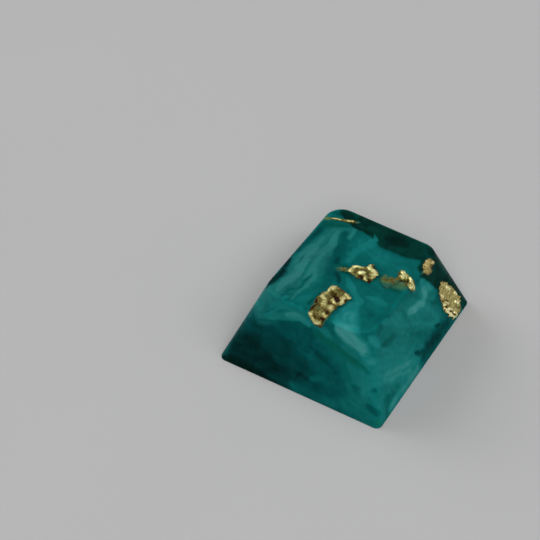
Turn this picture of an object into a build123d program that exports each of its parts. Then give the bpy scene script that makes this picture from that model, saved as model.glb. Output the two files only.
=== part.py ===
"""Artisan keycap: a hollow, tapered resin casting with torn gold leaf set into its skin.

The cap stands on its open rim. +Z is up, +X is the typist's right, +Y points away from the typist,
and the origin is on the stem's axis in the plane of the rim. All sizes are in millimetres.
"""
from build123d import *
from math import atan2, cos, hypot, sin
import os

# Outer form of the casting
BASE_SIZE = 18.1  # square footprint at the rim
BASE_CORNER = 0.6  # plan radius of the rim's corners
SIDE_INSET = 3.1  # how far each side edge of the top stands in from the rim
FRONT_INSET = 3.6  # the same for the front edge
BACK_INSET = 0.1  # and for the back edge: the back wall is almost upright
FRONT_HEIGHT = 8.8  # the top's front edge is the high one
BACK_HEIGHT = 6.5
TOP_CORNER = 1.9  # plan radius of the top's corners
TOP_EDGE_RADIUS = 0.35  # rounding between the top and the walls

# Hollow underside
WALL = 1.4
ROOF = 1.9  # resin left under the top's back edge, where the roof is thinnest
CEILING_FILLET = 0.5

# Stem with its cross socket
STEM_DIAMETER = 5.5
STEM_RECESS = 0.6  # the stem's end stands this far inside the rim
STEM_ROOT_CHAMFER = 0.4
SOCKET_ARM = 4.1  # length of both arms of the cross
SOCKET_WIDTH_ACROSS = 1.3  # width of the arm that runs left to right
SOCKET_WIDTH_ALONG = 1.15  # width of the arm that runs front to back
SOCKET_DEPTH = 3.8
SOCKET_LEAD_IN = 0.2

# Gold leaf: its depth in the skin, and where each piece lies
LEAF_DEPTH = 0.15
LEAF_REACH = 2.5  # how far a leaf's outline is carried to each side of its plane
LEAF_UNIT_LENGTH = 1.0  # length of one unit of the outlines in leaf_pieces
FRONT_LEAF_X = 0.6  # on the top's front edge
TOP_LEAF_FROM_RIGHT = 5.05
TOP_LEAF_FROM_BACK = 7.2
EDGE_LEAF_FROM_BACK = 6.15  # on the top's right edge
CHIP_FROM_BACK = 2.95  # on the same edge, nearer the back
CORNER_LEAF_FROM_BACK = 2.3  # on the right wall
CORNER_LEAF_HEIGHT = 2.2
BACK_LEAF_X = -4.0
BACK_LEAF_FROM_BACK = 1.7

# Derived places
HALF_BASE = BASE_SIZE / 2
TOP_HALF_WIDTH = HALF_BASE - SIDE_INSET
FRONT_EDGE_Y = FRONT_INSET - HALF_BASE
BACK_EDGE_Y = HALF_BASE - BACK_INSET
TOP_RUN = BACK_EDGE_Y - FRONT_EDGE_Y
TOP_FALL = FRONT_HEIGHT - BACK_HEIGHT
TOP_LENGTH = hypot(TOP_RUN, TOP_FALL)
TOP_TILT = atan2(TOP_FALL, TOP_RUN)
MEAN_HEIGHT = (FRONT_HEIGHT + BACK_HEIGHT) / 2
CEILING_HEIGHT = BACK_HEIGHT - ROOF

# Outward directions of the faces that carry leaf
ACROSS = Vector(1, 0, 0)
BACKWARD = Vector(0, 1, 0)
TOP_NORMAL = Vector(0, sin(TOP_TILT), cos(TOP_TILT))
FRONT_NORMAL = Vector(0, -FRONT_HEIGHT, FRONT_INSET).normalized()
RIGHT_NORMAL = Vector(MEAN_HEIGHT, 0, SIDE_INSET).normalized()

TOP_PLANE = Plane(
    origin=(0, (FRONT_EDGE_Y + BACK_EDGE_Y) / 2, MEAN_HEIGHT),
    x_dir=ACROSS,
    z_dir=TOP_NORMAL,
)


def top_point(across, from_front):
    """Point on the top, given its X and its distance up the slope from the front edge."""
    return TOP_PLANE.from_local_coords(Vector(across, from_front - TOP_LENGTH / 2, 0))


def right_wall_point(from_back, height):
    """Point close to the right wall, given its distance from the rim's back and its height."""
    inset = SIDE_INSET * height / MEAN_HEIGHT
    return Vector(HALF_BASE - inset, HALF_BASE - from_back, height)


def tapered_form(skin):
    """Outer form, drawn in by skin from the walls and from the top, with sharp top edges."""
    foot = BASE_SIZE - 2 * skin
    rim = RectangleRounded(foot, foot, BASE_CORNER)
    crown = RectangleRounded(2 * (TOP_HALF_WIDTH - skin), TOP_LENGTH - 2 * skin, TOP_CORNER)
    return loft([Plane.XY * rim, TOP_PLANE.offset(-skin) * crown], ruled=True)


def rounded_form(skin):
    """Outer form, drawn in by skin, with its top edges rounded."""
    sharp = tapered_form(skin)
    top_face = sharp.faces().sort_by(Axis.Z)[-1]
    return fillet(top_face.edges(), TOP_EDGE_RADIUS)


def hollow():
    """Space under the roof: the form drawn in by the wall, up to a level ceiling, round the stem."""
    below_ceiling = Pos(0, 0, CEILING_HEIGHT / 2) * Box(BASE_SIZE, BASE_SIZE, CEILING_HEIGHT)
    space = tapered_form(WALL) & below_ceiling
    ceiling = space.faces().sort_by(Axis.Z)[-1]
    space = fillet(ceiling.edges(), CEILING_FILLET)
    stem_length = CEILING_HEIGHT - STEM_RECESS
    stem = Pos(0, 0, STEM_RECESS + stem_length / 2) * Cylinder(STEM_DIAMETER / 2, stem_length)
    space = space - stem
    root = space.edges().filter_by(GeomType.CIRCLE).group_by(Axis.Z)[-1]
    return chamfer(root, STEM_ROOT_CHAMFER)


def socket():
    """Cross that takes the switch's post, from the rim's plane to its blind end in the stem."""
    arm_across = Rectangle(SOCKET_ARM, SOCKET_WIDTH_ACROSS)
    arm_along = Rectangle(SOCKET_WIDTH_ALONG, SOCKET_ARM)
    return extrude(arm_across + arm_along, amount=STEM_RECESS + SOCKET_DEPTH)


def casting():
    """The whole casting before the leaf's pockets: outer form, hollow, stem and socket."""
    cast = rounded_form(0) - hollow() - socket()
    rim_then_stem_end = cast.faces().filter_by(Axis.Z).sort_by(Axis.Z)
    mouth = rim_then_stem_end[1].edges().filter_by(GeomType.LINE)
    return chamfer(mouth, SOCKET_LEAD_IN)


def leaf(skin, origin, outward, along, outline):
    """Piece of leaf: the part of the skin inside a torn outline, carried along outward."""
    plane = Plane(origin=origin, x_dir=along, z_dir=outward)
    corners = [(x * LEAF_UNIT_LENGTH, y * LEAF_UNIT_LENGTH) for x, y in outline]
    torn = plane * make_face(Polyline(*corners, close=True))
    return skin & extrude(torn, amount=LEAF_REACH, both=True)


def leaf_pieces():
    """Every piece of leaf by name. Outlines run along the piece's own plane, from its origin."""
    skin = rounded_form(0) - rounded_form(LEAF_DEPTH)
    over_front_edge = TOP_NORMAL + FRONT_NORMAL
    over_right_edge = TOP_NORMAL + RIGHT_NORMAL
    return {
        "gold_leaf_front": leaf(
            skin,
            top_point(FRONT_LEAF_X, 0),
            over_front_edge,
            ACROSS,
            [
                (-1.1, 2.5), (-1.2, 3.1), (-0.9, 3.4), (-0.3, 3.5), (0.2, 3.3), (0.7, 3.2),
                (1.1, 3.1), (1.6, 2.8), (1.25, 2.6), (1.25, 2.1), (0.9, 1.55), (0.8, 1.1),
                (0.85, 0.2), (0.65, -0.55), (0.3, -1.0), (-0.2, -0.95), (-0.9, -0.5),
                (-1.2, -0.15), (-1.4, 0.5), (-1.5, 1.2), (-1.45, 2.2),
            ],
        ),
        "gold_leaf_top": leaf(
            skin,
            top_point(TOP_HALF_WIDTH - TOP_LEAF_FROM_RIGHT, TOP_LENGTH - TOP_LEAF_FROM_BACK),
            TOP_NORMAL,
            ACROSS,
            [
                (-2.1, -0.8), (-1.7, -0.3), (-1.2, -0.1), (-1.05, 0.35), (-0.5, 0.65), (0.05, 0.75),
                (0.2, 1.3), (0.6, 1.65), (0.9, 1.25), (1.45, 0.9), (1.75, 0.6), (1.65, 0.1),
                (1.5, -0.9), (0.95, -1.0), (0.5, -0.9), (0.05, -1.0), (-0.5, -0.85),
                (-0.9, -0.65), (-1.5, -0.85), (-1.9, -1.15),
            ],
        ),
        "gold_leaf_right_edge": leaf(
            skin,
            top_point(TOP_HALF_WIDTH, TOP_LENGTH - EDGE_LEAF_FROM_BACK),
            over_right_edge,
            BACKWARD,
            [
                (-0.35, 2.55), (0.1, 2.4), (0.2, 1.7), (0.35, 1.4), (1.0, 1.5), (1.5, 1.4),
                (1.4, 1.0), (1.2, 0.7), (1.0, 0.25), (0.55, -0.15), (0.35, -0.55), (-0.05, -0.65),
                (-0.55, -0.05), (-0.2, 0.4), (0.2, 0.6), (0.1, 0.9), (-0.35, 1.1), (-0.95, 1.35),
                (-1.55, 1.6), (-1.45, 2.0), (-0.95, 2.35),
            ],
        ),
        "gold_leaf_chip": leaf(
            skin,
            top_point(TOP_HALF_WIDTH, TOP_LENGTH - CHIP_FROM_BACK),
            over_right_edge,
            BACKWARD,
            [
                (0.6, 0.4), (1.1, 0.3), (1.2, -0.3), (0.8, -0.5), (0.3, -0.75), (-0.4, -0.7),
                (-0.7, -0.2), (-1.3, 0.0), (-1.0, 0.2), (-0.6, 0.15), (0.0, 0.4),
            ],
        ),
        "gold_leaf_corner": leaf(
            skin,
            right_wall_point(CORNER_LEAF_FROM_BACK, CORNER_LEAF_HEIGHT),
            RIGHT_NORMAL,
            BACKWARD,
            [
                (0.35, 2.4), (0.8, 1.4), (1.1, 0.5), (1.3, -0.3), (1.3, -1.1), (0.95, -1.7),
                (0.5, -2.0), (-0.25, -2.0), (-0.8, -1.8), (-1.1, -1.2), (-1.35, -0.4),
                (-1.4, 0.3), (-1.2, 1.2), (-0.8, 2.1), (-0.3, 2.5),
            ],
        ),
        "gold_leaf_back": leaf(
            skin,
            top_point(BACK_LEAF_X, TOP_LENGTH - BACK_LEAF_FROM_BACK),
            TOP_NORMAL,
            ACROSS,
            [
                (-1.5, -0.5), (-1.0, -0.15), (-0.35, 0.1), (0.25, 0.25), (0.95, 0.6), (1.55, 0.65),
                (1.1, 0.2), (0.4, -0.1), (-0.4, -0.3), (-1.0, -0.5),
            ],
        ),
    }


def main():
    """Sets the leaf into the casting and writes each piece to its own file."""
    pieces = leaf_pieces()
    cast = casting()
    for piece in pieces.values():
        cast = cast - piece
    pieces["resin_cap"] = cast
    os.makedirs("parts", exist_ok=True)
    for name, piece in pieces.items():
        export_step(piece, f"parts/{name}.step")


main()
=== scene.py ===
"""Looks of a cast resin keycap with torn gold leaf in its skin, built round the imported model.

The cap stands on its rim. +Z is up, +X is the typist's right, +Y points away from the typist, and the
origin is on the stem's axis in the plane of the rim. Shapes are worked out in millimetres, and are put
into their meshes in metres.
"""

import math
from typing import NamedTuple

import bpy
import numpy as np
from bpy.props import FloatProperty, FloatVectorProperty, PointerProperty
from mathutils import Matrix, Vector


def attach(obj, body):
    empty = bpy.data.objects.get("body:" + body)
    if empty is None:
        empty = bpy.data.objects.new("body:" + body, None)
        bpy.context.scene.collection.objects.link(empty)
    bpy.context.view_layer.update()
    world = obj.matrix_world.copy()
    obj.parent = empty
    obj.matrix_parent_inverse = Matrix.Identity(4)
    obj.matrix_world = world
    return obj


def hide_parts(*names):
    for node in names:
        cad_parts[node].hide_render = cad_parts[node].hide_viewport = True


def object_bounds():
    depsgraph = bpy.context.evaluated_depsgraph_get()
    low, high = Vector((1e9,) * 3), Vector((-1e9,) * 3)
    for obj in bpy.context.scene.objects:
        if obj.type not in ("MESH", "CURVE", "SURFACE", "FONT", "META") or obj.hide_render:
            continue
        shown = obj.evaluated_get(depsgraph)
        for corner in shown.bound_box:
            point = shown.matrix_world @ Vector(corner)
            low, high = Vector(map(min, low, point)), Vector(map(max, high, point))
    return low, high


bl_info = {
    "name": "Resin keycap",
    "version": (1, 0, 0),
    "blender": (4, 5, 0),
    "location": "View3D > Sidebar > Keycap",
    "description": "Builds a marbled resin keycap with gold leaf round its packed model",
    "category": "Mesh",
}

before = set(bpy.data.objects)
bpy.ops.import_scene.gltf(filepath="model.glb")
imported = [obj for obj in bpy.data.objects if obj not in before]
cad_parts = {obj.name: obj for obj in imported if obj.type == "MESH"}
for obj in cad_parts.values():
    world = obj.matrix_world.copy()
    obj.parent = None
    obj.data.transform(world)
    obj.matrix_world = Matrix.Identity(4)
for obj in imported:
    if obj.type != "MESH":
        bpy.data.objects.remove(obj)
CAD_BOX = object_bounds()

MM = 0.001
SHARP_ANGLE = math.radians(35)
QUARTER_TURN = np.array([[0, -1], [1, 0]])

# Grid of the casting: columns round every loop, and rows of loops on each stretch
SIDE_COLUMNS = 40  # on half a side
CORNER_COLUMNS = 12
QUARTER = 2 * SIDE_COLUMNS + CORNER_COLUMNS
COLUMNS = 4 * QUARTER
TOP_ROWS = 50
TOP_EDGE_ROWS = 8
WALL_ROWS = 64
RIM_EDGE_ROWS = 3
HOLLOW_ROWS = 10
CEILING_EDGE_ROWS = 6
CEILING_ROWS = 6
STEM_ROWS = 5
SOCKET_ROWS = 5
STEM_END_CHAMFER = 0.05  # in millimetres

# How points are brought to the casting's skin, in millimetres
DRAPE_STEP = 2.5  # the first step, halved in each round
DRAPE_ROUNDS = 40
WALL_ROUNDS = 8  # rounds that find the share of the right wall's height
NUDGE = 0.02  # to either side of a point, to find which way the skin faces

# Marbling, in millimetres
SWAYS = ((5.0, 0.40), (1.6, 0.16), (0.7, 0.06))  # wavelength and reach of each sway of the strokes
SWAY_WAVES = 5  # sine waves in a sway
STROKE_END = 0.7  # width of a stroke at its ends, as a share of that in its middle
BAND = 0.8  # from one light band in a stroke to the next
BAND_SWING = 0.03  # rise and fall of the milkiness in the bands, as a share of it
MARBLE_SEED = 7

# Where each leaf lies, in millimetres
FRONT_LEAF_X = 0.6
TOP_LEAF_FROM_RIGHT = 5.05
TOP_LEAF_FROM_BACK = 7.2
EDGE_LEAF_FROM_BACK = 6.15
CHIP_FROM_BACK = 2.95
CORNER_LEAF_FROM_BACK = 2.3
CORNER_LEAF_HEIGHT = 2.2
BACK_LEAF_X = -4.0
BACK_LEAF_FROM_BACK = 1.7

# Tear and crumple of the leaf, in millimetres
TEAR_WAVES = ((0.55, 1.0), (0.18, 0.8))  # wavelength and share of each ripple of the torn edge
FOLD_WAVES = ((0.5, 1.0),)  # and of the ripple that bends the folds
FOLD_BEND = 0.12  # how far the folds are bent
CREASE_WAVES = (0.9, 0.45, 0.22)  # wavelengths of the wide, middle and fine creases
CREASE_BEND = 0.6  # how far creases are bent, in wavelengths
CREASE_BEND_WAVE = 2  # wavelength of that bend, in wavelengths of the creases
RIPPLE_WAVES = 6  # sine waves in a ripple
RIPPLE_SPREAD = (0.7, 1.5)  # range of their frequencies beside the ripple's own
ZIGZAGS = 4  # zigzags in the creases of one wavelength
ZIGZAG_SPREAD = (0.7, 1.3)  # range of their frequencies beside the creases' own
FOLD_HEIGHT = 0.7  # height of a fold beside that of the creases
EDGE_BAND = 0.22  # width of the torn edge's darker band
EDGE_COVER = 0.4  # resin over the torn edge
SUNK_FLATNESS = 0.8  # share of its height that sunk leaf loses
FOLD_TONE, EDGE_TONE, SUNK_TONE = 0.55, -0.12, -0.22  # what folds (painted highlight and crease shade), the torn edge and resin add to the tone

# Finishes
RESIN_STOPS = (0.05, 0.22, 0.40, 0.52, 0.70, 0.95)  # milkiness at which each colour of the resin is pure
LEAF_STOPS = (0.10, 0.27, 0.45, 0.66, 0.92, 1.0)  # tone at which each colour of the leaf, from painted pit shade to painted glint, is pure
LEAST_GREEN = 0.86  # share of green left where the resin leans to blue
LEAST_BLUE = 0.74  # share of blue left where it leans to green
VEIL_RISE = 0.68  # share of a veil's run in which it rises
ROUGH_SWING = 0.06  # rise and fall of the resin's roughness
GLOW_REACH = 2.5  # how far light spreads under the resin's skin, in millimetres
GLOW_SHARES = (0.4, 1.0, 1.0)  # shares of that reach for red, green and blue
WARMEST = 0.6  # warmth at which the leaf's colour leans no further
FLOOR_MOTTLE = 0.015  # rise and fall of the floor's tone

# Stage
SOFTBOXES = {  # place and size of each, in metres
    "key": ((0.24, -0.37, 0.67), 0.5),
    "left": ((-0.67, 0.10, 0.42), 0.45),
    "right": ((0.50, 0.08, 0.62), 0.5),
}
FLOOR_REACH = 3.0  # from the cap to the floor's edges, in metres
FLOOR_GAP = 0.02  # between the floor and the rim, in millimetres
CAMERA_AIM = (-10.24, 2.86, 0)  # point of the floor that the picture's middle shows, in millimetres
SENSOR_WIDTH = 36.0  # in millimetres
CLIP_START = 0.01  # in metres

# Sizes and colours that can be set


def length(name, description, millimetres):
    """Property for a length, written in millimetres and kept in metres."""
    return FloatProperty(
        name=name, description=description, default=millimetres * MM, unit="LENGTH", precision=5
    )


def colour(name, description, value):
    """Property for a linear colour."""
    return FloatVectorProperty(
        name=name, description=description, default=value, subtype="COLOR", size=3, min=0, max=1
    )


def factor(name, description, value):
    """Property for a share from 0 to 1."""
    return FloatProperty(
        name=name, description=description, default=value, subtype="FACTOR", min=0, max=1
    )


def power(name, description, watts):
    """Property for the power of a lamp."""
    return FloatProperty(name=name, description=description, default=watts, unit="POWER")


def angle(name, description, degrees):
    """Property for an angle, written in degrees and kept in radians."""
    return FloatProperty(
        name=name, description=description, default=math.radians(degrees), subtype="ANGLE"
    )


class CapForm(bpy.types.PropertyGroup):
    """Sizes of the casting."""

    base_size: length("Base size", "Square footprint at the rim", (CAD_BOX[1].x - CAD_BOX[0].x) / MM)
    base_corner: length("Base corner", "Plan radius of the rim's corners", 0.6)
    side_inset: length("Side inset", "How far each side edge of the top stands in", 3.1)
    front_inset: length("Front inset", "How far the top's front edge stands in", 3.6)
    back_inset: length("Back inset", "How far the top's back edge stands in", 0.1)
    front_height: length("Front height", "Height of the top's front edge", 8.8)
    back_height: length("Back height", "Height of the top's back edge", 6.5)
    top_corner: length("Top corner", "Plan radius of the top's corners", 1.9)
    top_edge: length("Top edge", "Rounding between the top and the walls", 0.4)
    rim_edge: length("Rim edge", "Rounding of the rim's edges", 0.06)
    wall: length("Wall", "Thickness of the walls", 1.4)
    ceiling: length("Ceiling", "Height of the ceiling over the rim's plane", 4.6)
    ceiling_fillet: length("Ceiling fillet", "Rounding between the walls and the ceiling", 0.5)
    stem_diameter: length("Stem diameter", "Diameter of the stem", 5.5)
    stem_recess: length("Stem recess", "How far the stem's end stands inside the rim", 0.6)
    stem_root: length("Stem root", "Chamfer between the stem and the ceiling", 0.4)
    socket_arm: length("Socket arm", "Length of both arms of the cross", 4.1)
    socket_across: length("Socket across", "Width of the arm that runs left to right", 1.3)
    socket_along: length("Socket along", "Width of the arm that runs front to back", 1.15)
    socket_depth: length("Socket depth", "Depth of the cross from the stem's end", 3.8)
    socket_lead: length("Socket lead-in", "Chamfer round the mouth of the cross", 0.2)


class ResinLook(bpy.types.PropertyGroup):
    """Colours and finish of the marbled resin."""

    deepest: colour("Deepest", "Clear resin that looks almost black", (0.0004, 0.0075, 0.0062))
    deep: colour("Deep", "Dark teal between the clouds", (0.0004, 0.0205, 0.0205))
    dusky: colour("Dusky", "Teal of the darker stretches", (0.0006, 0.0790, 0.0785))
    middle: colour("Middle", "Teal of the body", (0.0022, 0.1240, 0.1165))
    cloudy: colour("Cloudy", "Milky teal of the clouds", (0.0090, 0.2010, 0.1930))
    pale: colour("Pale", "Palest wisps", (0.0880, 0.3540, 0.3340))
    # Whitish grey mixed into the veil's colour where strokes carry it
    greyness: colour("Greyness", "Whitish haze in the veil", (0.1100, 0.2000, 0.1950))
    stain: colour("Stain", "Olive of the resin over sunk leaf", (0.1650, 0.2100, 0.0450))
    milk: factor("Milk", "How milky the resin is between its strokes", 0.49)
    glow: factor("Glow", "Share of the light that spreads under the skin", 1.0)
    roughness: factor("Roughness", "Roughness of the cast skin", 0.25)
    gloss: factor("Gloss", "Specular level of the cast skin", 0.02)


class LeafLook(bpy.types.PropertyGroup):
    """Colours of the gold leaf, with its light and shade painted in, and its crumple."""

    glint: colour("Glint", "Almost white where a sharp fold catches the light", (1.0, 1.0, 0.57))
    palest: colour("Palest", "Gold where it catches the light", (0.96, 0.91, 0.46))
    # Painted highlight: gold where raised facets catch the light
    bright: colour("Bright", "Gold of the raised facets", (0.50, 0.45, 0.157))
    # Painted shade: the gold made duller on the slopes
    shaded_gold: colour("Khaki", "Duller gold of the slopes", (0.215, 0.190, 0.056))
    # Painted shade in the creases
    crease_shade: colour("Brown", "Brown of the creases", (0.090, 0.066, 0.009))
    olive: colour("Olive", "Leaf under a skin of resin", (0.080, 0.138, 0.044))
    drowned: colour("Drowned", "Leaf so deep in the resin that it is almost lost", (0.014, 0.096, 0.060))
    # Painted shade at the bottom of the pits
    pit_shade: colour("Pit", "Almost black bottom of the pits", (0.028, 0.009, 0.001))
    relief: length("Relief", "Height of the crumple", 0.16)
    clearance: length("Clearance", "Height of the lowest crease over the skin", 0.012)
    tear: length("Tear", "How far the torn edge wanders", 0.10)
    thickness: length("Thickness", "Thickness of the leaf", 0.015)
    step: length("Step", "Spacing of the leaf's grid", 0.03)


class StageLook(bpy.types.PropertyGroup):
    """Floor, light and camera."""

    floor_colour: colour("Floor", "Pale grey of the floor", (0.465, 0.465, 0.467))
    key_power: power("Key power", "Power of the softbox over the camera", 2.9)
    left_power: power("Left power", "Power of the left softbox", 2.9)
    right_power: power("Right power", "Power of the right softbox", 1.6)
    sky: FloatProperty(name="Sky", description="Strength of the surrounding light", default=0.27)
    distance: length("Distance", "From the camera to the point it looks at", 400.0)
    azimuth: angle("Azimuth", "Turn of the camera from the front towards the right", 33.22)
    elevation: angle("Elevation", "Height of the camera over the floor, as an angle", 51.78)
    roll: angle("Roll", "Turn of the camera about its own axis", -3.36)
    focal_length: FloatProperty(
        name="Focal length", description="Focal length of the lens", default=267.4, unit="CAMERA"
    )


def in_mm(group):
    """Lengths of a property group as a plain dict in millimetres."""
    return {key: getattr(group, key) / MM for key in group.__annotations__}


# Outer form of the casting


class Form:
    """Planes and outlines that the casting and the leaf share, in millimetres."""

    def __init__(self, size):
        self.size = size
        self.half = size["base_size"] / 2
        self.top_half = self.half - size["side_inset"]
        front_y = size["front_inset"] - self.half
        back_y = self.half - size["back_inset"]
        run = back_y - front_y
        fall = size["front_height"] - size["back_height"]
        self.top_length = math.hypot(run, fall)
        self.mean_height = (size["front_height"] + size["back_height"]) / 2
        self.up_slope = np.array([0, run, -fall]) / self.top_length
        self.top_normal = np.array([0, fall, run]) / self.top_length
        self.top_centre = np.array([0, (front_y + back_y) / 2, self.mean_height])
        self.front_normal = unit(np.array([0, -size["front_height"], size["front_inset"]]))
        self.right_normal = unit(np.array([self.mean_height, 0, size["side_inset"]]))

    def top_point(self, across, from_front):
        """Point on the top: its centre, plus across along X, plus the rest up the slope."""
        along = from_front - self.top_length / 2
        return self.top_centre + np.array([across, 0, 0]) + along * self.up_slope

    def front_wall_point(self, across, height):
        """Point on the front wall."""
        inset = self.size["front_inset"] * height / self.size["front_height"]
        return np.array([across, inset - self.half, height])

    def back_wall_point(self, across, height):
        """Point on the back wall."""
        inset = self.size["back_inset"] * height / self.size["back_height"]
        return np.array([across, self.half - inset, height])

    def near_right_wall(self, along, height):
        """Point close to the right wall, drawn in with height as the wall is at its middle."""
        inset = self.size["side_inset"] * height / self.mean_height
        return np.array([self.half - inset, along, height])

    def right_wall_point(self, along, height):
        """Point on the right wall."""
        return self.drape(self.near_right_wall(along, height), self.right_normal)

    def left_wall_point(self, along, height):
        """Point on the left wall, which mirrors the right one."""
        return self.right_wall_point(along, height) * [-1, 1, 1]

    def crown(self, skin):
        """Loop round the top's edge drawn in by skin, and the loop's directions away from its middle."""
        plan, away = rounded_loop(
            self.top_half - skin, self.top_length / 2 - skin, self.size["top_corner"]
        )
        centre = self.top_centre - skin * self.top_normal
        axes = np.array([[1, 0, 0], self.up_slope])
        return centre + plan @ axes, away @ axes

    def foot(self, skin):
        """Loop round the rim drawn in by skin, and the loop's directions away from its middle."""
        plan, away = rounded_loop(self.half - skin, self.half - skin, self.size["base_corner"])
        flat = np.zeros((COLUMNS, 1))
        return np.hstack([plan, flat]), np.hstack([away, flat])

    def depth(self, points):
        """How far points stand outside the top, front and right faces, with rounded edges to the top.

        The right wall is ruled between the rim and the top's edge, so the share of its height at a point
        comes from a few rounds of putting the place along the wall and that share into each other.
        """
        x, y, z = points[..., 0], points[..., 1], points[..., 2]
        over_top = (points - self.top_centre) @ self.top_normal
        over_front = (points - [0, -self.half, 0]) @ self.front_normal
        rim_run = self.half - self.size["base_corner"]
        top_run = self.top_length / 2 - self.size["top_corner"]
        place = y / rim_run
        for _ in range(WALL_ROUNDS):
            share = z / (self.top_centre[2] + top_run * self.up_slope[2] * place)
            place = (y - self.top_centre[1] * share) / (
                (1 - share) * rim_run + share * top_run * self.up_slope[1]
            )
        over_right = (x - self.half + self.size["side_inset"] * share) * self.right_normal[0]
        return np.maximum(
            self.rounded_pair(over_top, over_front, self.top_normal @ self.front_normal),
            self.rounded_pair(over_top, over_right, self.top_normal @ self.right_normal),
        )

    def rounded_pair(self, first, second, cosine):
        """Distance outside two faces whose common edge is rounded.

        Both faces are drawn in by the radius. Beyond their edge the distance is to the edge, elsewhere to
        the nearer face, and the radius comes off again.
        """
        radius = self.size["top_edge"]
        a, b = first + radius, second + radius
        from_edge = np.sqrt(a * a + b * b - 2 * a * b * cosine) / math.sqrt(1 - cosine * cosine)
        beyond = (a > cosine * b) & (b > cosine * a)
        return np.where(beyond, from_edge, np.maximum(a, b)) - radius

    def drape(self, points, outward):
        """Moves points along outward onto the form, by halving the step towards where depth is nought."""
        reach = np.zeros(points.shape[:-1])
        step = DRAPE_STEP
        for _ in range(DRAPE_ROUNDS):
            outside = self.depth(points + reach[..., None] * outward) > 0
            reach = reach + np.where(outside, -step, step)
            step = step / 2
        return points + reach[..., None] * outward

    def normals(self, points):
        """Directions in which depth grows fastest, from small differences along each axis."""
        steps = NUDGE * np.eye(3)
        slope = [self.depth(points + s) - self.depth(points - s) for s in steps]
        return unit(np.stack(slope, axis=-1))


def unit(directions):
    """Directions brought to length one."""
    return directions / np.linalg.norm(directions, axis=-1, keepdims=True)


def rounded_loop(half_x, half_y, radius):
    """Loop round a rectangle with round corners, from the middle of its right side, counter-clockwise.

    Each quarter is half a side, an arc and half the next side.
    Returns the points and the directions square to the outline.
    """
    share = np.arange(SIDE_COLUMNS) / SIDE_COLUMNS
    nought, one = np.zeros_like(share), np.ones_like(share)
    arc = np.arange(CORNER_COLUMNS) / CORNER_COLUMNS * math.pi / 2
    quarters, directions = [], []
    for turn in range(4):
        a, b = (half_x, half_y) if turn % 2 == 0 else (half_y, half_x)
        u = np.concatenate([a * one, a - radius + radius * np.cos(arc), (a - radius) * (1 - share)])
        v = np.concatenate([(b - radius) * share, b - radius + radius * np.sin(arc), b * one])
        du = np.concatenate([one, np.cos(arc), nought])
        dv = np.concatenate([nought, np.sin(arc), one])
        spin = np.linalg.matrix_power(QUARTER_TURN, turn)
        quarters.append(np.stack([u, v], axis=1) @ spin.T)
        directions.append(np.stack([du, dv], axis=1) @ spin.T)
    return np.concatenate(quarters), np.concatenate(directions)


def cross_loop(arm, width_across, width_along):
    """Loop round a cross, counter-clockwise from the middle of its right tip.

    A quarter has four stretches, half a tip, two arm sides and half the next tip, in equal columns.
    """
    quarters = []
    share = np.arange(QUARTER // 4) / (QUARTER // 4)
    tip = arm / 2
    halves = (width_across / 2, width_along / 2)
    for turn in range(4):
        high, wide = halves if turn % 2 == 0 else halves[::-1]
        corners = np.array([[tip, 0], [tip, high], [wide, high], [wide, tip], [0, tip]])
        runs = [a + np.outer(share, b - a) for a, b in zip(corners[:-1], corners[1:])]
        spin = np.linalg.matrix_power(QUARTER_TURN, turn)
        quarters.append(np.concatenate(runs) @ spin.T)
    return np.concatenate(quarters)


def level(plan, height):
    """Plan points brought to a height."""
    return np.hstack([plan, np.full((len(plan), 1), float(height))])


def between(start, end, rows):
    """Loops on straight lines from one loop to another, without the first and with the last."""
    return [start + (end - start) * share for share in np.linspace(0, 1, rows + 1)[1:]]


def rounding(corner, towards_start, towards_end, radius, rows):
    """Loops of an arc that rounds a corner between two directions.

    The arc's middle lies on the line that halves the angle, at radius over the sine of half the angle,
    and the arc's points swing from one tangent point to the other about it.
    """
    a, b = unit(towards_start), unit(towards_end)
    half = np.arccos(np.sum(a * b, axis=1, keepdims=True)) / 2
    middle = corner + unit(a + b) * radius / np.sin(half)
    first = unit(corner + a * radius / np.tan(half) - middle)
    last = unit(corner + b * radius / np.tan(half) - middle)
    swing = math.pi - 2 * half
    loops = []
    for share in np.linspace(0, 1, rows + 1):
        mixed = (np.sin((1 - share) * swing) * first + np.sin(share * swing) * last) / np.sin(swing)
        loops.append(middle + radius * mixed)
    return loops


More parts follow.
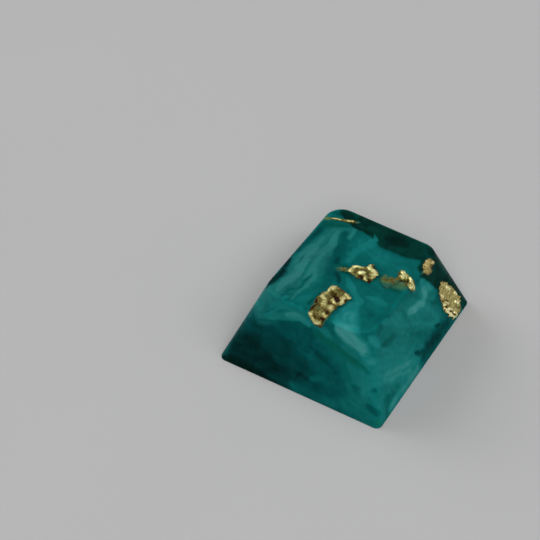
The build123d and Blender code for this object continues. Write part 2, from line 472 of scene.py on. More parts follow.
def casting_loops(form):
    """Loops of the casting from the middle of its top, down the walls, up the hollow and into the socket.

    The walls are ruled between a rounded square at the rim and a rounded oblong on the sloping top.
    """
    size = form.size
    crown, crown_away = form.crown(0)
    foot, foot_away = form.foot(0)
    inner_crown, _ = form.crown(size["wall"])
    inner_foot, _ = form.foot(size["wall"])
    down = unit(foot - crown)
    edge = rounding(crown, -crown_away, down, size["top_edge"], TOP_EDGE_ROWS)
    centre = np.broadcast_to(form.top_centre, crown.shape)
    loops = between(centre, edge[0], TOP_ROWS) + edge[1:]

    rim_outer = rounding(foot, -down, -foot_away, size["rim_edge"], RIM_EDGE_ROWS)
    loops += between(loops[-1], rim_outer[0], WALL_ROWS) + rim_outer[1:]

    up = unit(inner_crown - inner_foot)
    rim_inner = rounding(inner_foot, foot_away, up, size["rim_edge"], RIM_EDGE_ROWS)
    loops += rim_inner
    ceiling_corner = inner_foot + up * (size["ceiling"] / up[:, 2:])
    fillet = size["ceiling_fillet"]
    ceiling_edge = rounding(ceiling_corner, -up, -foot_away, fillet, CEILING_EDGE_ROWS)
    loops += between(loops[-1], ceiling_edge[0], HOLLOW_ROWS) + ceiling_edge[1:]

    lead = size["socket_lead"]
    cross = np.array([size["socket_arm"], size["socket_across"], size["socket_along"]])
    mouth, wide_mouth = cross_loop(*cross), cross_loop(*(cross + 2 * lead))
    bearing = np.unwrap(np.arctan2(mouth[:, 1], mouth[:, 0]))
    ring = np.stack([np.cos(bearing), np.sin(bearing)], axis=1)
    radius, root = size["stem_diameter"] / 2, size["stem_root"]
    end = size["stem_recess"]
    loops += between(loops[-1], level(ring * (radius + root), size["ceiling"]), CEILING_ROWS)
    loops.append(level(ring * radius, size["ceiling"] - root))
    loops += between(loops[-1], level(ring * radius, end + STEM_END_CHAMFER), STEM_ROWS)
    loops.append(level(ring * (radius - STEM_END_CHAMFER), end))
    loops.append(level(wide_mouth, end))
    loops.append(level(mouth, end + lead))
    loops += between(loops[-1], level(mouth, end + size["socket_depth"]), SOCKET_ROWS)
    return loops, form.top_centre, np.array([0, 0, end + size["socket_depth"]])


def closed_grid(loops, first, last):
    """Points and faces of a stack of loops, closed by a fan at each end."""
    rows = len(loops)
    points = np.concatenate([first[None], *loops, last[None]])
    index = 1 + np.arange(rows * COLUMNS).reshape(rows, COLUMNS)
    beside = np.roll(index, -1, axis=1)
    quads = np.stack([index[:-1], index[1:], beside[1:], beside[:-1]], axis=-1).reshape(-1, 4)
    pole = np.zeros(COLUMNS, int)
    top_fan = np.stack([pole, index[0], beside[0]], axis=1)
    end_fan = np.stack([index[-1], pole + len(points) - 1, beside[-1]], axis=1)
    return points, quads.tolist() + top_fan.tolist() + end_fan.tolist()


def new_piece(name, points, faces, material):
    """Mesh object at the origin from points in millimetres."""
    mesh = bpy.data.meshes.new(name)
    mesh.from_pydata((points * MM).tolist(), [], faces)
    mesh.validate()
    mesh.shade_smooth()
    mesh.materials.append(material)
    piece = bpy.data.objects.new(name, mesh)
    bpy.context.scene.collection.objects.link(piece)
    return piece


def put_values(piece, values):
    """Adds named values to a piece, one for each of its points."""
    for name, numbers in values.items():
        attribute = piece.data.attributes.new(name, "FLOAT", "POINT")
        attribute.data.foreach_set("value", numbers.astype(np.float32))


# Marbling of the resin


class Stroke(NamedTuple):
    """One stroke of the marbling. Left and right are as seen from outside, along the path."""

    path: list  # points on the cap's skin that it runs through
    left: float  # width to the left of its line
    right: float  # and to the right
    milk: float  # how milky the resin is in it
    core: float = 0.4  # share of its width that it covers wholly
    lean: float = 0.0  # lean of its colour to green or, below nought, to blue
    greyness: float = 0.0  # whitish grey mixed into its colour
    stain: float = 0.0  # how far sunk leaf stains it olive


def marble_strokes(form):
    """Strokes of the marbling in the order in which they are painted, the broad washes first.

    Each face makes a path of places on it: across and up the slope on the top, across and height on the
    front and the back, back along the wall and height on the right and the left.
    """
    def on(face):
        """Function that makes a path of places on a face."""
        return lambda *places: [face(*place) for place in places]

    top, front, back = on(form.top_point), on(form.front_wall_point), on(form.back_wall_point)
    right, left = on(form.right_wall_point), on(form.left_wall_point)
    return [
        # Broad washes of the front, from its light right end to the dark left one, whose darkness is partly
        # painted shade
        Stroke(front((4.8, 5.6), (8.0, 1.6)), 3.4, 3.6, 0.62),
        Stroke(front((-9.4, 5.4), (-2.4, 6.0), (1.8, 4.6), (3.8, 1.6), (3.6, -1.0)), 1.4, 7.0, 0.42, 0.3),
        Stroke(front((-9.4, 4.2), (-3.6, 4.6), (-0.2, 3.0), (2.4, -0.8)), 2.2, 6.0, 0.31, 0.1),
        Stroke(front((-9.4, 2.4), (-5.4, 2.6), (-2.2, 1.2), (-1.0, -0.8)), 2.2, 5.0, 0.23, 0.1),
        Stroke(front((-9.0, 0.2), (-6.0, 0.5), (-3.2, 0.0)), 1.0, 2.0, 0.12, 0.1, 0.5),
        # Broad washes of the right wall
        Stroke(right((-6.2, 7.6), (-2.8, 6.4), (-0.8, 3.8), (0.0, 1.8)), 1.8, 1.8, 0.60, 0.3),
        Stroke(right((-6.4, 5.6), (-3.6, 3.4), (-1.6, 1.0)), 3.4, 3.0, 0.66, 0.2),
        Stroke(right((-0.6, 6.6), (2.6, 4.2), (3.6, 2.4)), 2.8, 2.6, 0.66, 0.25),
        # Broad washes of the top: the veil, and the darker stretch beside it
        Stroke(
            front((-5.4, 6.6)) + top((-4.6, 1.4), (-4.0, 6.0), (-3.9, 11.4)),
            2.0, 2.4, 0.53, 0.5, greyness=0.05,
        ),
        Stroke(top((-2.8, 11.0), (-2.2, 8.6), (-1.6, 6.4), (-1.3, 4.0)), 0.9, 1.0, 0.41, 0.3),
        # Light streaks of the veil
        Stroke(top((-4.6, 0.8), (-4.6, 3.2), (-4.3, 5.6), (-4.6, 8.0)), 0.5, 0.8, 0.64, greyness=0.16),
        Stroke(top((-2.7, 0.4), (-2.9, 2.4), (-2.9, 4.2), (-3.5, 6.0)), 0.3, 0.5, 0.62, 0.35, greyness=0.10),
        Stroke(top((-3.6, 4.0), (-3.4, 6.4), (-3.5, 8.8)), 0.3, 0.5, 0.63, 0.35, greyness=0.10),
        Stroke(top((-4.2, 6.6), (-3.7, 8.8), (-4.0, 10.8)), 0.4, 0.7, 0.62, greyness=0.10),
        Stroke(top((-5.1, 4.8), (-4.9, 7.6), (-4.8, 9.8)), 0.3, 0.5, 0.60, 0.35, greyness=0.10),
        Stroke(top((-2.6, 12.5), (-2.4, 11.6), (-2.3, 10.8)), 0.5, 0.4, 0.64, greyness=0.05),
        Stroke(top((-3.5, 12.4), (-3.0, 10.4)), 0.3, 0.5, 0.57),
        # Dark streaks of the veil
        Stroke(top((-5.9, 4.2), (-5.8, 8.0), (-5.7, 11.6)), 0.6, 0.7, 0.33, 0.2),
        Stroke(top((-4.9, 2.6), (-4.8, 5.0), (-4.5, 7.4)), 0.1, 0.2, 0.48, 0.2),
        Stroke(top((-3.9, 6.8), (-4.1, 9.2), (-4.4, 10.8)), 0.1, 0.2, 0.50, 0.2),
        # Painted shade along the top's left edge, where the rounded edge turns away
        Stroke(top((-5.7, 0.8), (-5.6, 2.2), (-5.6, 3.4), (-5.7, 4.8)), 0.7, 0.7, 0.18, 0.3),
        Stroke(
            front((-4.2, 8.3)) + top((-3.7, 0.4), (-3.8, 1.2), (-3.2, 2.6), (-3.3, 4.4)),
            0.2, 0.5, 0.44, 0.3,
        ),
        Stroke(top((-2.3, 1.6), (-2.1, 3.2), (-1.8, 5.0)), 0.2, 0.6, 0.46, 0.3),
        Stroke(top((-4.0, 3.2), (-3.8, 5.8)), 0.12, 0.35, 0.53, 0.3),
        Stroke(top((-3.3, 11.0), (-2.8, 9.0), (-2.2, 7.4)), 0.9, 0.35, 0.40),
        Stroke(top((-1.8, 7.8), (-1.3, 6.4), (-0.2, 5.2)), 0.5, 0.8, 0.30, 0.1, 0.3),
        Stroke(top((-5.7, 11.2), (-4.6, 11.9), (-3.4, 12.4)), 0.6, 0.9, 0.40, 0.3, 0.6),
        # Resin stained by the leaf on it
        Stroke(top((-1.3, 6.6), (0.4, 7.1), (2.3, 7.2)), 1.0, 1.2, 0.44, 0.4, 0.6),
        Stroke(top((0.6, 3.4), (0.3, 1.2)), 1.3, 1.3, 0.45, 0.4, 0.5),
        # Middle of the top
        Stroke(top((-0.6, 11.0), (1.4, 10.4), (4.2, 10.2)), 1.0, 1.4, 0.55, 0.5),
        Stroke(top((0.2, 11.8), (-0.7, 10.8), (-1.3, 9.4), (-1.1, 8.2)), 1.0, 0.25, 0.60),
        Stroke(top((2.0, 8.9), (4.2, 9.0)), 0.5, 0.5, 0.54, 0.3),
        Stroke(top((-0.4, 12.9), (-0.1, 12.2), (-0.3, 11.2)), 0.4, 0.4, 0.62),
        Stroke(top((0.6, 5.9), (1.6, 4.9), (2.8, 3.6)), 0.45, 0.7, 0.62),
        Stroke(top((3.6, 3.1), (4.4, 2.8), (4.9, 2.0)), 0.45, 0.5, 0.43),
        Stroke(top((3.2, 4.4), (4.8, 4.7)), 0.6, 0.6, 0.59, 0.5),
        Stroke(top((5.3, 3.4), (5.7, 2.2)), 0.4, 0.5, 0.45),
        Stroke(top((2.4, 6.2), (3.8, 6.0)), 0.6, 0.6, 0.45),
        Stroke(top((-2.4, 0.0), (-1.4, 1.6)), 0.7, 0.8, 0.54),
        # Painted shadow beside the front leaf's left edge
        Stroke(top((-0.8, 2.8), (-1.0, 0.6)), 0.25, 0.3, 0.38, 0.3, 0.8),
        Stroke(top((2.8, 7.8), (4.2, 7.0), (5.6, 7.2)), 0.7, 0.6, 0.40, 0.35, 0.9),
        # Right wall: lighter facets, then dark spots
        Stroke(right((3.2, 6.4), (4.4, 6.2), (5.0, 5.0)), 0.9, 0.7, 0.63),
        Stroke(right((-0.4, 7.6), (0.5, 6.7), (0.5, 5.4), (0.3, 4.4)), 0.45, 0.45, 0.54, 0.3),
        Stroke(right((3.7, 5.9), (4.6, 5.4), (5.1, 4.6)), 1.1, 1.1, 0.73, 0.2),
        Stroke(right((4.6, 4.9), (5.6, 4.3)), 0.5, 0.5, 0.60, 0.3),
        Stroke(right((4.4, 6.4), (4.2, 5.2), (3.35, 5.1), (2.2, 5.55), (1.2, 5.8)), 0.65, 0.8, 0.81, 0.3),
        Stroke(right((-2.4, 7.9), (-1.4, 7.0), (-0.6, 6.2)), 0.5, 0.8, 0.66, 0.5),
        Stroke(right((-5.0, 8.0), (-4.4, 6.7)), 0.8, 0.7, 0.70),
        Stroke(right((-6.2, 7.2), (-5.8, 5.9)), 0.5, 0.6, 0.72),
        Stroke(right((-5.2, 3.4), (-4.0, 2.6), (-2.2, 1.8)), 1.7, 1.8, 0.71, 0.1),
        Stroke(right((-6.4, 0.4), (-3.6, 0.5), (-1.0, 0.5)), 1.0, 0.9, 0.74, 0.1),
        Stroke(right((-6.9, 3.2), (-5.4, 1.8)), 0.4, 0.8, 0.62, 0.3),
        Stroke(right((1.6, 4.8), (3.6, 2.8)), 0.8, 0.8, 0.60, 0.5),
        Stroke(right((-3.8, 6.1), (-2.9, 5.7), (-1.9, 5.6)), 0.5, 0.6, 0.49, 0.4, 0.3),
        Stroke(right((-7.7, 5.2), (-7.2, 3.6)), 0.4, 0.6, 0.45, 0.35),
        Stroke(right((-8.8, 3.2), (-8.3, 1.4)), 0.6, 0.7, 0.44),
        Stroke(right((-0.3, 4.6), (0.5, 3.4)), 0.3, 0.4, 0.49, 0.3),
        Stroke(right((0.7, 3.3), (1.6, 2.0)), 0.4, 0.4, 0.50, 0.3),
        Stroke(right((-0.4, 2.0), (0.5, 1.2)), 0.4, 0.4, 0.34, 0.3),
        Stroke(right((3.2, 1.9), (4.1, 1.6)), 0.4, 0.4, 0.36, 0.3),
        Stroke(right((0.6, 0.8), (2.4, 0.9), (5.4, 0.8)), 1.3, 1.2, 0.32, 0.1, 0.2),
        Stroke(right((1.4, 1.2), (2.4, 0.9), (3.6, 0.7)), 0.7, 0.7, 0.25, 0.0),
        Stroke(right((4.6, 4.0), (5.2, 3.5)), 0.4, 0.4, 0.46, 0.35, 0.4),
        # Pale patch that comes over the front edge
        Stroke(top((2.4, 0.9), (3.4, 0.6), (4.6, 0.2)), 1.1, 1.2, 0.74, 0.1),
        Stroke(top((2.4, 3.0), (3.0, 1.4)) + front((3.0, 8.2)), 0.9, 1.0, 0.64, 0.6),
        Stroke(top((3.2, 1.6), (3.9, 0.3)) + front((4.6, 7.9)), 1.3, 1.3, 0.70, 0.4),
        Stroke(front((2.8, 8.4), (3.8, 7.9), (4.8, 7.5), (5.7, 7.3)), 1.7, 1.0, 0.83, 0.2),
        Stroke(front((0.8, 7.7), (2.0, 7.4)), 0.5, 0.5, 0.59, 0.5, 0.4),
        Stroke(front((0.6, 7.2), (3.0, 6.5), (4.8, 5.9), (6.4, 5.7)), 0.5, 1.1, 0.50, 0.1, 0.6),
        # Upper front, where the veil comes over the edge
        Stroke(front((-5.2, 6.4), (-4.9, 7.6)) + top((-4.7, 0.3)), 0.3, 0.5, 0.57),
        Stroke(front((-5.2, 6.8), (-4.6, 7.2), (-3.8, 8.0)) + top((-3.4, 0.4)), 0.4, 0.6, 0.64),
        Stroke(front((-4.4, 8.1), (-2.4, 8.2), (-0.6, 7.9), (1.6, 7.6)), 0.8, 0.6, 0.63, 0.5),
        Stroke(front((-4.6, 6.6), (-2.4, 7.2), (-1.0, 7.6), (-0.5, 8.4)), 0.8, 0.45, 0.64, 0.5, 0.2),
        Stroke(front((-3.0, 8.2), (-1.4, 8.5)), 0.5, 0.4, 0.65),
        Stroke(front((-2.4, 7.4), (-1.4, 7.6), (-0.5, 7.4)), 0.7, 0.6, 0.74),
        Stroke(front((-6.0, 6.5), (-5.0, 7.1), (-4.2, 7.7), (-3.8, 8.5)), 0.15, 0.25, 0.40, 0.3, -0.4),
        Stroke(front((-5.6, 5.9), (-3.6, 6.6), (-1.4, 6.9)), 0.2, 0.35, 0.44, 0.3, 0.3),
        # Painted shade along the front's left edge, dark blue
        Stroke(front((-7.0, 5.2), (-6.2, 4.3), (-5.0, 4.4)), 0.4, 0.4, 0.35, 0.3, -0.6),
        # Lower front, with its arcs
        Stroke(front((5.2, 1.4), (8.2, 0.8)), 1.6, 1.8, 0.56, 0.2),
        Stroke(front((-1.0, 4.6), (0.6, 4.2), (1.6, 3.6), (3.0, 2.7)), 0.5, 0.5, 0.42, 0.4, 0.1),
        Stroke(front((0.4, 5.3), (1.9, 4.5), (3.2, 3.7)), 0.6, 0.35, 0.34, 0.35),
        Stroke(front((0.8, 2.1), (2.2, 2.6), (3.8, 2.6)), 0.4, 0.6, 0.46, 0.4, 0.2),
        Stroke(front((3.2, 5.4), (4.0, 4.4), (4.9, 3.2)), 0.7, 0.6, 0.53, 0.45),
        Stroke(front((-0.7, 2.1), (0.3, 1.8)), 0.4, 0.4, 0.24, 0.3),
        Stroke(front((-3.9, 1.4), (-2.3, 1.7)), 0.2, 0.25, 0.15, 0.3),
        Stroke(front((-3.6, 0.5), (-0.5, 0.6)), 1.0, 0.9, 0.32, 0.0),
        Stroke(front((-0.8, 0.5), (1.6, 0.6), (3.8, 0.7)), 1.4, 1.0, 0.48, 0.1),
        Stroke(front((1.6, 0.4), (4.0, 0.4)), 0.8, 0.8, 0.54, 0.1),
        Stroke(front((4.6, 3.6), (5.6, 2.4)), 0.6, 0.6, 0.58, 0.3),
        Stroke(front((6.0, 5.0), (6.8, 3.2)), 1.0, 0.9, 0.66),
        Stroke(front((7.0, 5.2), (7.5, 3.8)), 0.25, 0.25, 0.45, 0.3),
        Stroke(front((7.3, 1.9), (8.2, 1.3)), 0.5, 0.5, 0.43, 0.35, -0.4),
        Stroke(front((7.9, 0.5), (8.8, 0.7)), 0.5, 0.5, 0.58, 0.3, 0.9),
        # Dark stretch along the back edge and down the right wall: clear resin, with the shade that
        # refraction gives it there painted in
        Stroke(top((-5.4, 13.4), (-4.2, 14.2)), 0.8, 0.6, 0.41, 0.5, 0.3),
        Stroke(top((-4.4, 14.2), (-2.4, 13.3), (-0.6, 13.3), (0.6, 13.5)), 1.8, 1.2, 0.23, 0.8, 0.9),
        Stroke(top((-0.6, 13.7), (1.2, 13.2), (3.4, 13.2), (5.6, 13.4)), 1.9, 1.9, 0.24, 0.75, 0.9),
        Stroke(top((4.4, 13.0), (5.4, 12.3), (6.0, 10.6)), 1.0, 0.35, 0.26, 0.6, 0.6),
        Stroke(top((1.0, 13.2), (2.6, 13.2)), 0.9, 0.9, 0.13, 0.2, 0.6),
        Stroke(top((-0.2, 12.8), (0.2, 12.2), (0.1, 11.6)), 0.4, 0.4, 0.60, 0.5),
        Stroke(right((5.7, 6.8), (6.4, 5.9), (7.6, 3.8), (8.8, 0.4)), 1.3, 1.35, 0.25, 0.85, 0.8),
        # Blue-grey down the right wall's back edge: painted reflection of the surroundings
        Stroke(right((8.9, 5.0), (9.0, 0.8)), 0.3, 0.4, 0.38, 0.3, -0.3),
        # Soft stains round the sunk leaf
        Stroke(top((-6.0, 12.0), (-5.3, 12.4)), 0.35, 0.35, 0.42, 0.2, 0.9, stain=0.7),
        Stroke(top((-1.2, 6.4), (-0.6, 6.8)), 0.35, 0.35, 0.44, 0.1, 0.8, stain=0.22),
        Stroke(top((3.4, 7.6), (4.4, 7.7), (5.4, 8.0)), 0.8, 0.8, 0.48, 0.0, 0.9, stain=0.30),
        Stroke(top((4.3, 8.2), (4.9, 8.35), (5.5, 8.5)), 0.4, 0.45, 0.48, 0.0, 0.9, stain=0.6),
        # Left wall and back
        Stroke(left((-7.0, 1.0), (-1.0, 3.8), (5.5, 1.6)), 3.2, 3.0, 0.32, 0.3),
        Stroke(left((-5.8, 7.0), (-2.6, 4.8), (2.0, 5.0), (6.4, 2.6)), 1.2, 0.6, 0.61),
        Stroke(left((-4.0, 1.2), (-0.6, 2.9), (2.0, 2.2), (3.6, 0.6)), 0.5, 0.9, 0.55),
        Stroke(left((3.0, 5.8), (6.8, 4.2)), 0.8, 0.5, 0.40),
        Stroke(back((-7.0, 5.2), (-1.0, 3.6), (6.6, 5.0)), 2.2, 2.6, 0.28, 0.5, 0.8),
        Stroke(back((-7.8, 0.8), (-3.4, 2.6), (1.2, 1.0), (7.0, 2.2)), 1.0, 0.6, 0.55),
        Stroke(back((1.8, 5.2), (4.0, 3.6), (6.4, 3.4)), 0.6, 0.5, 0.47),
    ]


def sway(points, wavelength, reach, draw):
    """Points moved along each axis by reach times the mean of sine waves in drawn directions."""
    waves = unit(draw.normal(size=(3, SWAY_WAVES, 3))) / wavelength
    shifts = draw.uniform(0, 1, (3, SWAY_WAVES))
    runs = np.einsum("pk,awk->paw", points, waves) + shifts
    return points + reach * np.sin(2 * math.pi * runs).mean(axis=2)


def cover(points, normals, stroke):
    """Cover of a stroke at points, and their distance from its line, below nought to the right of it.

    The cover is 1 in the core of the stroke's width and is eased to 0 at the width. The width is that of
    the point's side, and narrows towards the stroke's ends as a sine does.
    """
    corners = np.array(stroke.path)
    lengths = np.linalg.norm(np.diff(corners, axis=0), axis=1)
    before = np.concatenate([[0], np.cumsum(lengths)])
    least = np.full(len(points), np.inf)
    signed = np.zeros(len(points))
    for start, end, behind, long in zip(corners[:-1], corners[1:], before, lengths):
        run = (end - start) / long
        along = np.clip((points - start) @ run, 0, long)
        aside = points - start - along[:, None] * run
        away = np.linalg.norm(aside, axis=1)
        leftward = np.sum(np.cross(run, aside) * normals, axis=1) > 0
        middle = np.sin(math.pi * (behind + along) / before[-1])
        taper = STROKE_END + (1 - STROKE_END) * middle
        share = away / (np.where(leftward, stroke.left, stroke.right) * taper)
        signed = np.where(share < least, np.where(leftward, away, -away), signed)
        least = np.minimum(least, share)
    rest = np.clip((1 - least) / (1 - stroke.core), 0, 1)
    return rest * rest * (3 - 2 * rest), signed


def marbling(form, points, normals, milk):
    """Milkiness, lean, haze and stain of the resin at points: strokes over an even milk.

    The strokes are laid over one another, at places that sway. A stroke's milkiness rises and falls in
    bands along its line, more so where it is wide and milky.
    """
    draw = np.random.default_rng(MARBLE_SEED)
    places = points
    for wavelength, reach in SWAYS:
        places = sway(places, wavelength, reach, draw)
    names = ("resin_milk", "resin_lean", "resin_haze", "resin_stain")
    values = {name: np.zeros(len(points)) for name in names}
    values["resin_milk"] += milk
    for stroke in marble_strokes(form):
        mask, signed = cover(places, normals, stroke)
        bands = np.sin(2 * math.pi * (signed / BAND + draw.uniform()))
        swing = BAND_SWING * stroke.milk * min(1, (stroke.left + stroke.right) / 2)
        aims = (stroke.milk + swing * bands, stroke.lean, stroke.greyness, stroke.stain)
        for value, aim in zip(values.values(), aims):
            value += mask * (aim - value)
    return values


# Gold leaf


class Leaf(NamedTuple):
    """One torn piece of leaf on its own plane, in millimetres."""

    outline: tuple  # as it lies in the casting's skin
    folds: tuple  # path, width and amount: raised with a painted highlight, or below nought a crease with painted shade
    grain: tuple  # shares of its wide, middle and fine creases
    sunk: tuple  # spots where resin has run over it: place, radius and depth
    tone: float = 0.38  # tone between the folds
    fray: float = 1.0  # how ragged its edge is beside the others
    glint: float = 0.40  # share of the creases in its tone, as painted light on their ridges and painted shade in their hollows
    warm: float = 0.0  # lean of its colour to cream or, below nought, to lemon
    bank: float = 0.22  # how far in from its edge the sunk spots lie deeper


